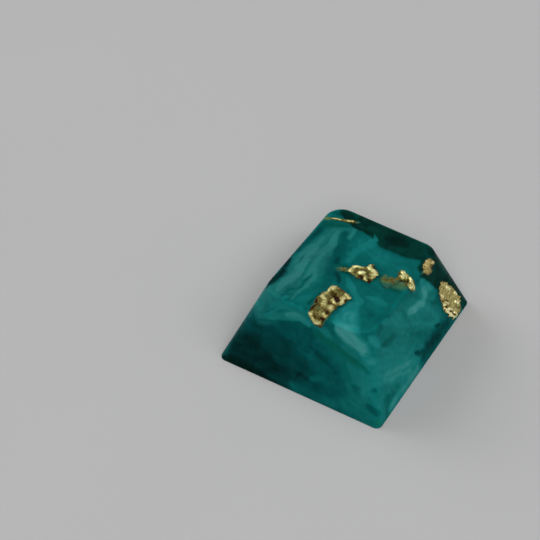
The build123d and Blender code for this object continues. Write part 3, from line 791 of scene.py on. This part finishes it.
LEAVES = {
    "gold_leaf_front": Leaf(
        outline=(
            (-1.1, 2.5), (-1.2, 3.1), (-0.9, 3.4), (-0.3, 3.5), (0.2, 3.3), (0.7, 3.2), (1.1, 3.1),
            (1.6, 2.8), (1.25, 2.6), (1.25, 2.1), (0.9, 1.55), (0.8, 1.1), (0.85, 0.2),
            (0.65, -0.55), (0.3, -1.0), (-0.2, -0.95), (-0.9, -0.5), (-1.2, -0.15), (-1.4, 0.5),
            (-1.5, 1.2), (-1.45, 2.2),
        ),
        folds=(
            (((-0.75, 3.2), (-0.95, 2.9), (-1.05, 2.5)), 0.26, 1.1),
            (((-1.1, 1.95), (-0.75, 1.65), (-0.35, 1.15)), 0.20, 0.8),
            (((-0.05, 1.95), (0.2, 1.85), (0.5, 1.7)), 0.13, 0.9),
            (((0.8, 2.5), (0.9, 2.2), (0.95, 1.95)), 0.20, 1.0),
            (((0.7, 3.0), (1.0, 2.9), (1.4, 2.7)), 0.14, 0.9),
            (((0.3, 1.2), (0.45, 1.0)), 0.24, 1.0),
            (((0.2, 0.3), (0.4, 0.2)), 0.17, 0.9),
            (((-1.05, -0.1), (-0.95, -0.25)), 0.18, 1.2),
            (((-0.65, -0.45), (-0.2, -0.7), (0.15, -0.55)), 0.18, 1.1),
            (((-0.6, 0.8), (-0.3, 0.4)), 0.30, 0.15),
            (((0.0, 2.35), (0.25, 2.2), (0.5, 2.1)), 0.16, -2.0),
            (((-0.7, 2.6), (-0.2, 2.55)), 0.16, -0.45),
            (((1.1, 2.5), (1.2, 2.35)), 0.12, -1.0),
            (((-0.3, 2.0), (-0.1, 1.5)), 0.10, -0.45),
            (((0.1, 1.5), (0.6, 1.45)), 0.09, -0.5),
            (((0.3, 0.65), (0.45, 0.55)), 0.14, -1.5),
            (((0.2, -0.15), (0.55, -0.2)), 0.13, -1.4),
            (((-1.25, 1.3), (-1.2, 0.3)), 0.16, -0.7),
            (((-0.75, -0.05), (-0.45, -0.25)), 0.12, -0.4),
            (((-0.05, -0.85), (0.1, -0.75)), 0.10, -0.5),
        ),
        grain=(0.30, 0.30, 0.20),
        sunk=(
            (-1.2, 0.8, 0.35, 0.6), (-0.6, 0.65, 0.32, 0.6), (0.85, 0.75, 0.25, 0.6),
            (0.8, 0.1, 0.25, 0.6), (0.65, -0.4, 0.25, 0.6),
        ),
    ),
    "gold_leaf_top": Leaf(
        outline=(
            (-2.1, -0.8), (-1.7, -0.3), (-1.2, -0.1), (-1.05, 0.35), (-0.5, 0.65), (0.05, 0.75),
            (0.2, 1.3), (0.6, 1.65), (0.9, 1.25), (1.45, 0.9), (1.75, 0.6), (1.65, 0.1),
            (1.5, -0.9), (0.95, -1.0), (0.5, -0.9), (0.05, -1.0), (-0.5, -0.85), (-0.9, -0.65),
            (-1.5, -0.85), (-1.9, -1.15),
        ),
        folds=(
            (((-0.85, -0.6), (-0.9, -0.1), (-0.8, 0.3)), 0.17, 0.9),
            (((-0.65, 0.45), (-0.1, 0.6)), 0.16, 0.8),
            (((0.15, -0.15), (0.25, -0.05)), 0.22, 1.6),
            (((0.35, 1.25), (0.5, 0.95), (0.8, 0.75)), 0.16, 1.0),
            (((1.0, 0.85), (1.3, 0.55), (1.6, 0.3)), 0.21, 1.0),
            (((0.8, -0.45), (1.05, -0.8)), 0.12, 0.9),
            (((1.3, 0.1), (1.4, -0.2)), 0.14, 0.4),
            (((0.2, -0.45), (0.45, -0.6), (0.6, -0.8)), 0.15, -1.5),
            (((1.3, -0.6), (1.5, -0.8)), 0.18, -1.3),
            (((0.85, 1.3), (1.0, 1.05)), 0.11, -0.8),
            (((0.0, 0.3), (0.3, 0.35)), 0.12, -0.5),
            (((-0.45, 0.1), (-0.35, -0.3)), 0.15, -0.35),
            (((0.65, 0.3), (0.85, -0.1)), 0.14, -0.35),
        ),
        grain=(0.30, 0.30, 0.20),
        sunk=((-1.35, -0.45, 0.35, 0.6), (-1.9, -0.9, 0.30, 0.6), (-0.2, -0.8, 0.20, 0.6)),
        tone=0.46,
        warm=-0.2,
    ),
    "gold_leaf_right_edge": Leaf(
        outline=(
            (-0.35, 2.55), (0.1, 2.4), (0.2, 1.7), (0.35, 1.4), (1.0, 1.5), (1.5, 1.4), (1.4, 1.0),
            (1.2, 0.7), (1.0, 0.25), (0.55, -0.15), (0.35, -0.55), (-0.05, -0.65), (-0.55, -0.05),
            (-0.2, 0.4), (0.2, 0.6), (0.1, 0.9), (-0.35, 1.1), (-0.95, 1.35), (-1.55, 1.6),
            (-1.45, 2.0), (-0.95, 2.35),
        ),
        folds=(
            (((0.6, 0.95), (0.95, 1.0), (1.35, 1.15)), 0.17, 1.0),
            (((0.75, 0.65), (1.0, 0.7)), 0.13, 0.6),
            (((0.35, 0.1), (0.6, 0.2), (0.9, 0.35)), 0.14, 0.9),
            (((-0.25, 0.0), (0.1, -0.15), (0.2, -0.35)), 0.20, 0.9),
            (((-0.15, 2.25), (0.0, 2.1)), 0.15, 0.5),
            (((0.4, 0.75), (0.7, 0.8)), 0.09, -0.6),
            (((0.0, 1.05), (0.2, 0.95)), 0.20, -0.4),
            (((0.25, 0.4), (0.6, 0.45)), 0.08, -0.6),
        ),
        grain=(0.30, 0.30, 0.25),
        sunk=(
            (-0.95, 1.75, 0.60, 0.72), (-0.2, 2.0, 0.45, 0.6), (-0.3, 1.25, 0.35, 0.35),
            (0.1, 1.6, 0.30, 0.45),
        ),
        tone=0.43,
        warm=-0.2,
        bank=0.45,
    ),
    "gold_leaf_chip": Leaf(
        outline=(
            (0.6, 0.4), (1.1, 0.3), (1.2, -0.3), (0.8, -0.5), (0.3, -0.75), (-0.4, -0.7),
            (-0.7, -0.2), (-1.3, 0.0), (-1.0, 0.2), (-0.6, 0.15), (0.0, 0.4),
        ),
        folds=(
            (((-0.4, -0.1), (0.0, 0.1), (0.5, 0.2)), 0.35, 0.35),
            (((0.8, -0.2), (0.95, -0.3)), 0.10, 0.8),
            (((0.5, -0.45), (0.75, -0.5)), 0.15, -0.8),
        ),
        grain=(0.15, 0.10, 0.08),
        sunk=((-0.95, 0.05, 0.20, 0.6),),
        tone=0.51,
        glint=0.9,
        warm=0.4,
    ),
    "gold_leaf_corner": Leaf(
        outline=(
            (0.35, 2.4), (0.8, 1.4), (1.1, 0.5), (1.3, -0.3), (1.3, -1.1), (0.95, -1.7),
            (0.5, -2.0), (-0.25, -2.0), (-0.8, -1.8), (-1.1, -1.2), (-1.35, -0.4), (-1.4, 0.3),
            (-1.2, 1.2), (-0.8, 2.1), (-0.3, 2.5),
        ),
        folds=(
            (((-1.3, 0.75), (-0.95, 0.2)), 0.10, 1.4),
            (((-1.25, 0.05), (-0.85, -0.6)), 0.10, 1.6),
            (((-1.1, -0.65), (-0.7, -1.35)), 0.12, 1.8),
            (((-0.85, -1.35), (-0.45, -1.9)), 0.12, 1.8),
            (((-0.3, -1.4), (-0.05, -1.9)), 0.09, 1.4),
            (((-0.75, 0.5), (-0.5, 0.1)), 0.08, 1.0),
            (((-0.7, -0.4), (-0.4, -0.9)), 0.09, 1.2),
            (((-0.85, 1.5), (-0.7, 1.1)), 0.12, 1.0),
            (((0.3, 1.5), (0.55, 1.0)), 0.10, 0.9),
            (((0.45, -0.6), (0.75, -1.1)), 0.10, 1.0),
            (((0.9, 0.2), (1.05, -0.2)), 0.10, 1.0),
            (((-1.05, 0.25), (-0.7, -0.3)), 0.09, -0.9),
            (((-0.95, -0.5), (-0.55, -1.1)), 0.09, -0.9),
            (((-0.7, -1.15), (-0.3, -1.75)), 0.09, -0.9),
            (((-1.0, 0.85), (-0.7, 0.45)), 0.10, -0.7),
            (((-0.5, 0.5), (-0.3, 0.1)), 0.06, -0.7),
            (((0.3, -1.2), (0.55, -1.7)), 0.12, -0.5),
            (((0.05, 0.6), (0.2, 0.3)), 0.06, -0.6),
        ),
        grain=(0.15, 0.40, 0.40),
        sunk=((1.1, -1.5, 0.35, 0.6), (-1.2, 0.6, 0.20, 0.6), (-1.25, -0.1, 0.15, 0.6)),
        tone=0.62,
        fray=2.2,
        glint=0.7,
        warm=0.15,
    ),
    "gold_leaf_back": Leaf(
        outline=(
            (-1.5, -0.5), (-1.0, -0.15), (-0.35, 0.1), (0.25, 0.25), (0.95, 0.6), (1.55, 0.65),
            (1.1, 0.2), (0.4, -0.1), (-0.4, -0.3), (-1.0, -0.5),
        ),
        folds=(
            (((0.3, 0.15), (0.75, 0.37)), 0.10, 0.9),
            (((0.0, 0.02), (0.15, 0.07)), 0.10, 0.4),
            (((-1.2, -0.4), (-0.8, -0.28), (-0.4, -0.12)), 0.08, 1.0),
        ),
        grain=(0.30, 0.25, 0.20),
        sunk=((1.3, 0.55, 0.30, 0.6),),
        fray=0.6,
        warm=-0.5,
    ),
}


def leaf_planes(form):
    """Each leaf's origin on the casting, its outward direction and the direction its outline's x runs in."""
    across, backward = np.array([1.0, 0, 0]), np.array([0, 1.0, 0])
    over_front = form.top_normal + form.front_normal
    over_right = form.top_normal + form.right_normal
    back, side = form.top_length, form.top_half
    return {
        "gold_leaf_front": (form.top_point(FRONT_LEAF_X, 0), over_front, across),
        "gold_leaf_top": (
            form.top_point(side - TOP_LEAF_FROM_RIGHT, back - TOP_LEAF_FROM_BACK), form.top_normal, across
        ),
        "gold_leaf_right_edge": (form.top_point(side, back - EDGE_LEAF_FROM_BACK), over_right, backward),
        "gold_leaf_chip": (form.top_point(side, back - CHIP_FROM_BACK), over_right, backward),
        "gold_leaf_corner": (
            form.near_right_wall(form.half - CORNER_LEAF_FROM_BACK, CORNER_LEAF_HEIGHT),
            form.right_normal,
            backward,
        ),
        "gold_leaf_back": (form.top_point(BACK_LEAF_X, back - BACK_LEAF_FROM_BACK), form.top_normal, across),
    }


def ripple(x, y, wavelength, draw):
    """Smooth wandering value from -1 to 1: the mean of sine waves in drawn directions."""
    total = 0
    for _ in range(RIPPLE_WAVES):
        turn, shift = draw.uniform(0, 2 * math.pi, 2)
        run = (x * math.cos(turn) + y * math.sin(turn)) * draw.uniform(*RIPPLE_SPREAD) / wavelength
        total = total + np.sin(2 * math.pi * run + shift)
    return total / RIPPLE_WAVES


def wandered(x, y, reach, waves, draw):
    """Grid points moved along x and along y by reach times a sum of ripples, each with its share."""
    moves = [
        sum(share * ripple(x, y, wavelength, draw) for wavelength, share in waves) for _ in range(2)
    ]
    return x + reach * moves[0], y + reach * moves[1]


def creases(x, y, wavelength, draw):
    """Folded height from 0 to 1: the mean of zigzags in drawn directions, bent by a ripple."""
    x, y = wandered(x, y, CREASE_BEND * wavelength, ((CREASE_BEND_WAVE * wavelength, 1.0),), draw)
    total = 0
    for _ in range(ZIGZAGS):
        turn, shift = draw.uniform(0, math.pi), draw.uniform(0, 1)
        run = (x * math.cos(turn) + y * math.sin(turn)) * draw.uniform(*ZIGZAG_SPREAD) / wavelength
        run = run + shift
        total = total + np.abs(2 * (run - np.floor(run)) - 1)
    return total / ZIGZAGS


def inside(x, y, outline):
    """Whether grid points lie inside an outline, by counting the edges to one side of them."""
    odd = np.zeros(x.shape, bool)
    for (ax, ay), (bx, by) in zip(outline, outline[1:] + outline[:1]):
        crosses = (ay > y) != (by > y)
        side = ax + (y - ay) * (bx - ax) / (by - ay if by != ay else 1)
        odd ^= crosses & (x < side)
    return odd


def from_line(x, y, corners):
    """Distance of grid points from a line through corners: the least of those from its stretches."""
    least = np.full(x.shape, np.inf)
    for (ax, ay), (bx, by) in zip(corners[:-1], corners[1:]):
        run_x, run_y = bx - ax, by - ay
        share = ((x - ax) * run_x + (y - ay) * run_y) / (run_x**2 + run_y**2)
        share = np.clip(share, 0, 1)
        least = np.minimum(least, np.hypot(x - ax - share * run_x, y - ay - share * run_y))
    return least


def mound(distance, width):
    """Bell of height 1 over a distance, down to a third at the width."""
    return np.exp(-((distance / width) ** 2))


def leaf_sheet(form, name, plane, sizes):
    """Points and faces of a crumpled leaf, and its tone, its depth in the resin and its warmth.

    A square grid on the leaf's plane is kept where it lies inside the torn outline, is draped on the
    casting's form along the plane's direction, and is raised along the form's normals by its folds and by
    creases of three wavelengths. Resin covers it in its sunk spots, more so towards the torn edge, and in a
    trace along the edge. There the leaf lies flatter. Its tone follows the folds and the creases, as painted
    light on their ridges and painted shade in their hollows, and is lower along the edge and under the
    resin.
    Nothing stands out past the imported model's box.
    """
    origin, outward, along = plane
    outward = unit(outward)
    along = unit(along - outward * np.dot(along, outward))
    sideways = np.cross(outward, along)
    leaf = LEAVES[name]
    draw = np.random.default_rng(sum(map(ord, name)))
    tear = sizes["tear"] * leaf.fray
    low, high = np.min(leaf.outline, axis=0) - tear, np.max(leaf.outline, axis=0) + tear
    sides = [np.arange(start, end, sizes["step"]) for start, end in zip(low, high)]
    x, y = np.meshgrid(*sides, indexing="ij")
    torn = wandered(x, y, tear, TEAR_WAVES, draw)
    kept = inside(*torn, leaf.outline)
    from_edge = from_line(*torn, leaf.outline + leaf.outline[:1])
    edge, bank = (1 - np.clip(from_edge / width, 0, 1) for width in (EDGE_BAND, leaf.bank))

    bent = wandered(x, y, FOLD_BEND, FOLD_WAVES, draw)
    crumple = sum(
        share * creases(x, y, wavelength, draw) for share, wavelength in zip(leaf.grain, CREASE_WAVES)
    )
    crumple = crumple - crumple[kept].mean()
    folds = sum(amount * mound(from_line(*bent, path), width) for path, width, amount in leaf.folds)
    folds = np.tanh(folds)
    spots = [deep * mound(np.hypot(x - at_x, y - at_y), radius) for at_x, at_y, radius, deep in leaf.sunk]
    sunk = np.clip(np.max(spots, axis=0) * (1 + bank) + EDGE_COVER * edge**2, 0, 1)
    height = sizes["relief"] * (crumple + FOLD_HEIGHT * folds)
    height = (height - height[kept].min()) * (1 - SUNK_FLATNESS * sunk) + sizes["clearance"]
    # Tone: painted highlights on folds and ridges, painted shade in creases, lower at the edge and under
    # resin
    tone = leaf.tone + FOLD_TONE * folds + leaf.glint * crumple + EDGE_TONE * edge + SUNK_TONE * sunk

    whole = kept[:-1, :-1] & kept[1:, :-1] & kept[1:, 1:] & kept[:-1, 1:]
    index = np.arange(x.size).reshape(x.shape)
    quads = np.stack([index[:-1, :-1], index[1:, :-1], index[1:, 1:], index[:-1, 1:]], axis=-1)[whole]
    used, quads = np.unique(quads, return_inverse=True)
    x, y, height, tone, sunk = (values.ravel()[used] for values in (x, y, height, tone, sunk))
    draped = form.drape(origin + np.outer(x, along) + np.outer(y, sideways), outward)
    points = draped + form.normals(draped) * height[:, None]
    points = np.minimum(points, np.array(CAD_BOX[1]) / MM)
    values = {"leaf_tone": tone, "leaf_sunk": sunk, "leaf_warm": np.full(len(tone), leaf.warm)}
    return points, quads.reshape(-1, 4).tolist(), values


# Materials


def wire(tree, kind, inputs=None, **settings):
    """New node with its settings, and its inputs set to a value or joined to a socket."""
    node = tree.nodes.new(kind)
    for key, value in settings.items():
        setattr(node, key, value)
    fill(tree, node, inputs or {})
    return node


def fill(tree, node, inputs):
    """Sets a node's inputs to values, or joins them to sockets."""
    for key, value in inputs.items():
        if isinstance(value, bpy.types.NodeSocket):
            tree.links.new(value, node.inputs[key])
        else:
            node.inputs[key].default_value = value


def sums(tree, operation, *terms):
    """Result of a Math node."""
    return wire(tree, "ShaderNodeMath", dict(enumerate(terms)), operation=operation).outputs["Value"]


def vectors(tree, operation, *terms):
    """Result of a Vector Math node."""
    node = wire(tree, "ShaderNodeVectorMath", dict(enumerate(terms)), operation=operation)
    return node.outputs["Vector"]


def painted(tree, name):
    """Value of that name which each point of the piece carries."""
    return wire(tree, "ShaderNodeAttribute", attribute_name=name).outputs["Fac"]


def ease(tree, value, start, end, low=0.0, high=1.0):
    """Smooth step from low to high as value goes from start to end."""
    node = wire(
        tree,
        "ShaderNodeMapRange",
        {"Value": value, "From Min": start, "From Max": end, "To Min": low, "To Max": high},
        interpolation_type="SMOOTHSTEP",
    )
    return node.outputs["Result"]


def noise(tree, vector, scale, detail=2.0, output="Fac"):
    """Noise texture over a vector."""
    node = wire(tree, "ShaderNodeTexNoise", {"Vector": vector, "Scale": scale, "Detail": detail})
    return node.outputs[output]


def facets(tree, vector, scale):
    """Value from 0 to 1 that differs from cell to cell of a Voronoi texture over a vector."""
    cells = wire(tree, "ShaderNodeTexVoronoi", {"Vector": vector, "Scale": scale}).outputs["Color"]
    return wire(tree, "ShaderNodeSeparateColor", {"Color": cells}).outputs["Red"]


def bumped(tree, height, strength, rise):
    """Normal of a surface that a height from 0 to 1 raises, by rise in millimetres."""
    inputs = {"Height": height, "Strength": strength, "Distance": rise * MM}
    return wire(tree, "ShaderNodeBump", inputs).outputs["Normal"]


def new_material(name):
    """Material with an empty tree, its Principled shader and its output."""
    material = bpy.data.materials.new(name)
    material.use_nodes = True
    tree = material.node_tree
    tree.nodes.clear()
    shader = wire(tree, "ShaderNodeBsdfPrincipled")
    wire(tree, "ShaderNodeOutputMaterial", {"Surface": shader.outputs["BSDF"]})
    return material, tree, shader


def object_millimetres(tree):
    """Object coordinates in millimetres."""
    place = wire(tree, "ShaderNodeTexCoord").outputs["Object"]
    return vectors(tree, "MULTIPLY", place, (1 / MM,) * 3)


def stirred(tree, place, scale, reach, detail=2.0):
    """Place moved by up to half of reach along each axis, by noise of that scale."""
    drift = noise(tree, place, scale, detail, "Color")
    moved = vectors(tree, "MULTIPLY_ADD", drift, (reach,) * 3, place)
    return vectors(tree, "SUBTRACT", moved, (reach / 2,) * 3)


def veil(tree, value, repeats):
    """Folded sheet: rises slowly and falls back quickly, repeats times as value goes from 0 to 1."""
    share = sums(tree, "FRACT", sums(tree, "MULTIPLY", value, repeats))
    rise = sums(tree, "DIVIDE", share, VEIL_RISE)
    fall = sums(tree, "DIVIDE", sums(tree, "SUBTRACT", 1.0, share), 1 - VEIL_RISE)
    return ease(tree, sums(tree, "MINIMUM", rise, fall), start=0.0, end=1.0)


def add_share(tree, total, value, share):
    """Total plus a share of a value that runs from 0 to 1, so that its middle changes nothing."""
    return sums(tree, "MULTIPLY_ADD", value, share, sums(tree, "SUBTRACT", total, share / 2))


def colour_ramp(tree, value, positions, shades):
    """Colour that goes through shades as a value goes through rising positions."""
    ramp = wire(tree, "ShaderNodeValToRGB", {"Fac": value})
    stops = ramp.color_ramp.elements
    stops[0].position, stops[1].position = positions[0], positions[-1]
    for position in positions[1:-1]:
        stops.new(position)
    for stop, shade in zip(stops, shades):
        stop.color = (*shade, 1)
    return ramp.outputs["Color"]


def tinted(tree, shade, red, green, blue):
    """Colour whose red, green and blue are multiplied, each by its own share."""
    shares = wire(tree, "ShaderNodeCombineXYZ", {"X": red, "Y": green, "Z": blue})
    return vectors(tree, "MULTIPLY", shade, shares.outputs["Vector"])


def blend(tree, share, shade, other):
    """Colour that goes from a shade to another colour as share goes from 0 to 1."""
    node = wire(tree, "ShaderNodeMix", {0: share, 6: shade, 7: (*other, 1)}, data_type="RGBA")
    return node.outputs[2]


def resin_material(look):
    """Marbled teal resin.

    A soft noise, folded veils and faint facets are added to the painted milkiness, at a place that noise
    bends twice as stirred resin folds over itself. Six colours follow it and lean to green or blue, and
    the painted haze and stain are mixed in over them.
    """
    material, tree, shader = new_material("marbled_resin")
    place = object_millimetres(tree)
    folded = stirred(tree, stirred(tree, place, scale=0.16, reach=4.0, detail=1.0), scale=0.4, reach=2.4)
    clouds = noise(tree, folded, scale=0.34)
    veils = veil(tree, noise(tree, folded, scale=0.2, detail=1.0), repeats=6.0)
    milk = add_share(tree, painted(tree, "resin_milk"), clouds, share=0.09)
    milk = add_share(tree, milk, veils, share=0.04)
    milk = add_share(tree, milk, facets(tree, folded, scale=0.7), share=0.04)

    shades = (look.deepest, look.deep, look.dusky, look.middle, look.cloudy, look.pale)
    shade = colour_ramp(tree, milk, RESIN_STOPS, shades)
    lean = painted(tree, "resin_lean")
    green = ease(tree, lean, start=-1.0, end=0.0, low=LEAST_GREEN, high=1.0)
    blue = ease(tree, lean, start=0.0, end=1.0, low=1.0, high=LEAST_BLUE)
    shade = tinted(tree, shade, red=1.0, green=green, blue=blue)
    shade = blend(tree, painted(tree, "resin_haze"), shade, look.greyness)
    shade = blend(tree, painted(tree, "resin_stain"), shade, look.stain)

    grain = noise(tree, place, scale=1.3, detail=3.0)
    low, high = look.roughness - ROUGH_SWING, look.roughness + ROUGH_SWING
    fill(tree, shader, {
        "Base Color": shade,
        "Roughness": ease(tree, grain, start=0.3, end=0.7, low=low, high=high),
        "Normal": bumped(tree, grain, strength=0.05, rise=0.05),
        "Specular IOR Level": look.gloss,
        "Subsurface Weight": look.glow,
        "Subsurface Radius": GLOW_SHARES,
        "Subsurface Scale": GLOW_REACH * MM,
    })
    return material


def leaf_material(look):
    """Gold leaf with painted light and shade: white glints, lit gold, shaded slopes, dark creases and pits.

    Small facets differ in tone, and the gold leans to cream or lemon. Where resin has run over the leaf it
    turns olive and then as green as the resin, and loses its shine.
    """
    material, tree, shader = new_material("gold_leaf")
    place = object_millimetres(tree)
    flakes = facets(tree, stirred(tree, place, scale=2.0, reach=0.3), scale=3.4)
    specks = noise(tree, place, scale=4.0, detail=3.0)
    tone = add_share(tree, painted(tree, "leaf_tone"), flakes, share=0.14)
    tone = add_share(tree, tone, specks, share=0.16)

    # The ramp paints the leaf's light and shade: glints and lit gold on raised places, shade on slopes,
    # creases and pits
    shades = (look.pit_shade, look.crease_shade, look.shaded_gold, look.bright, look.palest, look.glint)
    gold = colour_ramp(tree, tone, LEAF_STOPS, shades)
    patches = noise(tree, place, scale=1.5, detail=1.0)
    warm = add_share(tree, painted(tree, "leaf_warm"), patches, share=0.9)
    red = ease(tree, warm, start=-WARMEST, end=WARMEST, low=0.92, high=1.08)
    cool = ease(tree, warm, start=-WARMEST, end=WARMEST, low=1.04, high=0.94)
    gold = tinted(tree, gold, red=red, green=cool, blue=cool)

    murk = noise(tree, place, scale=1.8)
    sunk = add_share(tree, painted(tree, "leaf_sunk"), murk, share=-0.9)
    covered = ease(tree, sunk, start=0.25, end=0.85)
    veiled = blend(tree, ease(tree, covered, start=0.0, end=0.6), gold, look.olive)
    wrinkles = noise(tree, place, scale=9.0, detail=3.0)
    fill(tree, shader, {
        "Base Color": blend(tree, ease(tree, covered, start=0.55, end=1.0), veiled, look.drowned),
        "Metallic": ease(tree, covered, start=0.0, end=0.7, low=0.65, high=0.0),
        "Specular IOR Level": 0.2,
        "Roughness": ease(tree, specks, start=0.3, end=0.7, low=0.22, high=0.40),
        "Normal": bumped(tree, wrinkles, strength=0.5, rise=0.04),
    })
    return material


def floor_material(look):
    """Matt pale grey with a trace of mottling."""
    material, tree, shader = new_material("pale_floor")
    mottle = noise(tree, wire(tree, "ShaderNodeTexCoord").outputs["Object"], scale=40.0)
    darker, lighter = (
        [share * change for share in look.floor_colour] for change in (1 - FLOOR_MOTTLE, 1 + FLOOR_MOTTLE)
    )
    tone = blend(tree, mottle, (*darker, 1), lighter)
    fill(tree, shader, {"Base Color": tone, "Roughness": 0.9, "Specular IOR Level": 0.1})
    return material


# Operators and panel


class KEYCAP_OT_cast_resin(bpy.types.Operator):
    """Casts the resin cap: one closed surface from its top to the end of its socket"""

    bl_idname = "keycap.cast_resin"
    bl_label = "Cast resin cap"

    def execute(self, context):
        form = Form(in_mm(context.scene.keycap_form))
        points, faces = closed_grid(*casting_loops(form))
        material = resin_material(context.scene.keycap_resin)
        piece = new_piece("marbled_cap", points, faces, material)
        piece.data.set_sharp_from_angle(angle=SHARP_ANGLE)
        normals = np.empty(3 * len(points), np.float32)
        piece.data.vertex_normals.foreach_get("vector", normals)
        milk = context.scene.keycap_resin.milk
        put_values(piece, marbling(form, points, normals.reshape(-1, 3), milk))
        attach(piece, "root")
        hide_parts("resin_cap")
        return {"FINISHED"}


class KEYCAP_OT_lay_leaf(bpy.types.Operator):
    """Lays each torn piece of gold leaf on the cap's skin"""

    bl_idname = "keycap.lay_leaf"
    bl_label = "Lay gold leaf"

    def execute(self, context):
        form = Form(in_mm(context.scene.keycap_form))
        look = context.scene.keycap_leaf
        sizes = {key: getattr(look, key) / MM for key in ("relief", "clearance", "tear", "step")}
        material = leaf_material(look)
        for node, plane in leaf_planes(form).items():
            points, faces, values = leaf_sheet(form, node, plane, sizes)
            piece = new_piece(node.replace("gold_leaf", "crumpled_leaf"), points, faces, material)
            put_values(piece, values)
            solid = piece.modifiers.new("Thickness", "SOLIDIFY")
            solid.thickness = look.thickness
            solid.offset = -1
            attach(piece, "root")
            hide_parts(node)
        return {"FINISHED"}


class KEYCAP_OT_set_stage(bpy.types.Operator):
    """Sets the floor, the lights, the surroundings and the camera"""

    bl_idname = "keycap.set_stage"
    bl_label = "Set stage"

    def execute(self, context):
        look = context.scene.keycap_stage
        plan = np.array([[-1, -1], [1, -1], [1, 1], [-1, 1]]) * FLOOR_REACH / MM
        floor = new_piece("floor", level(plan, -FLOOR_GAP), [[0, 1, 2, 3]], floor_material(look))
        for side, (place, size) in SOFTBOXES.items():
            add_softbox(f"{side}_softbox", getattr(look, f"{side}_power"), place, size)
        set_sky(look)
        add_camera(look)
        context.scene.view_settings.view_transform = "Standard"
        return {"FINISHED"}


def add_softbox(name, watts, place, size):
    """Square area light that faces the cap."""
    light = bpy.data.lights.new(name, "AREA")
    light.shape, light.size, light.energy = "SQUARE", size, watts
    lamp = bpy.data.objects.new(name, light)
    lamp.location = place
    lamp.rotation_euler = (-Vector(place)).to_track_quat("-Z", "Y").to_euler()
    bpy.context.scene.collection.objects.link(lamp)


def set_sky(look):
    """Even surrounding light, seen directly, in metal and through glass as the floor's grey."""
    world = bpy.data.worlds.new("studio")
    bpy.context.scene.world = world
    world.use_nodes = True
    tree = world.node_tree
    tree.nodes.clear()
    rays = wire(tree, "ShaderNodeLightPath").outputs
    mirrored = sums(tree, "MAXIMUM", rays["Is Glossy Ray"], rays["Is Transmission Ray"])
    seen = sums(tree, "MAXIMUM", rays["Is Camera Ray"], mirrored)
    glow = wire(tree, "ShaderNodeBackground", {"Color": (1, 1, 1, 1), "Strength": look.sky})
    plain = wire(tree, "ShaderNodeBackground", {"Color": (*look.floor_colour, 1), "Strength": 1.0})
    mixed = wire(tree, "ShaderNodeMixShader", {0: seen, 1: glow.outputs[0], 2: plain.outputs[0]})
    wire(tree, "ShaderNodeOutputWorld", {"Surface": mixed.outputs[0]})


def add_camera(look):
    """Camera on a sphere about the point of the floor that the picture's middle shows, then rolled."""
    aim = Vector(CAMERA_AIM) * MM
    turn, rise = look.azimuth, look.elevation
    back = Vector((math.sin(turn) * math.cos(rise), -math.cos(turn) * math.cos(rise), math.sin(rise)))
    lens = bpy.data.cameras.new("photo_camera")
    lens.sensor_width, lens.lens = SENSOR_WIDTH, look.focal_length
    lens.clip_start = CLIP_START
    camera = bpy.data.objects.new("photo_camera", lens)
    facing = (-back).to_track_quat("-Z", "Y").to_matrix().to_4x4()
    camera.matrix_world = (
        Matrix.Translation(aim + back * look.distance) @ facing @ Matrix.Rotation(look.roll, 4, "Z")
    )
    bpy.context.scene.collection.objects.link(camera)
    bpy.context.scene.camera = camera


class KEYCAP_PT_build(bpy.types.Panel):
    """Lists the cap's pieces and what can be changed on them"""

    bl_idname = "KEYCAP_PT_build"
    bl_label = "Resin keycap"
    bl_space_type = "VIEW_3D"
    bl_region_type = "UI"
    bl_category = "Keycap"

    def draw(self, context):
        for operator, group in (
            (KEYCAP_OT_cast_resin, context.scene.keycap_form),
            (KEYCAP_OT_cast_resin, context.scene.keycap_resin),
            (KEYCAP_OT_lay_leaf, context.scene.keycap_leaf),
            (KEYCAP_OT_set_stage, context.scene.keycap_stage),
        ):
            box = self.layout.box()
            box.operator(operator.bl_idname)
            for key in group.__annotations__:
                box.prop(group, key)


GROUPS = {
    "keycap_form": CapForm,
    "keycap_resin": ResinLook,
    "keycap_leaf": LeafLook,
    "keycap_stage": StageLook,
}
CLASSES = (
    *GROUPS.values(),
    KEYCAP_OT_cast_resin,
    KEYCAP_OT_lay_leaf,
    KEYCAP_OT_set_stage,
    KEYCAP_PT_build,
)


def register():
    """Registers the classes and puts the property groups on the scene."""
    for item in CLASSES:
        bpy.utils.register_class(item)
    for name, group in GROUPS.items():
        setattr(bpy.types.Scene, name, PointerProperty(type=group))


def unregister():
    """Takes the property groups and the classes away again."""
    for name in GROUPS:
        delattr(bpy.types.Scene, name)
    for item in reversed(CLASSES):
        bpy.utils.unregister_class(item)


def main():
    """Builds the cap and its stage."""
    register()
    bpy.ops.keycap.cast_resin()
    bpy.ops.keycap.lay_leaf()
    bpy.ops.keycap.set_stage()


if __name__ == "__main__":
    main()
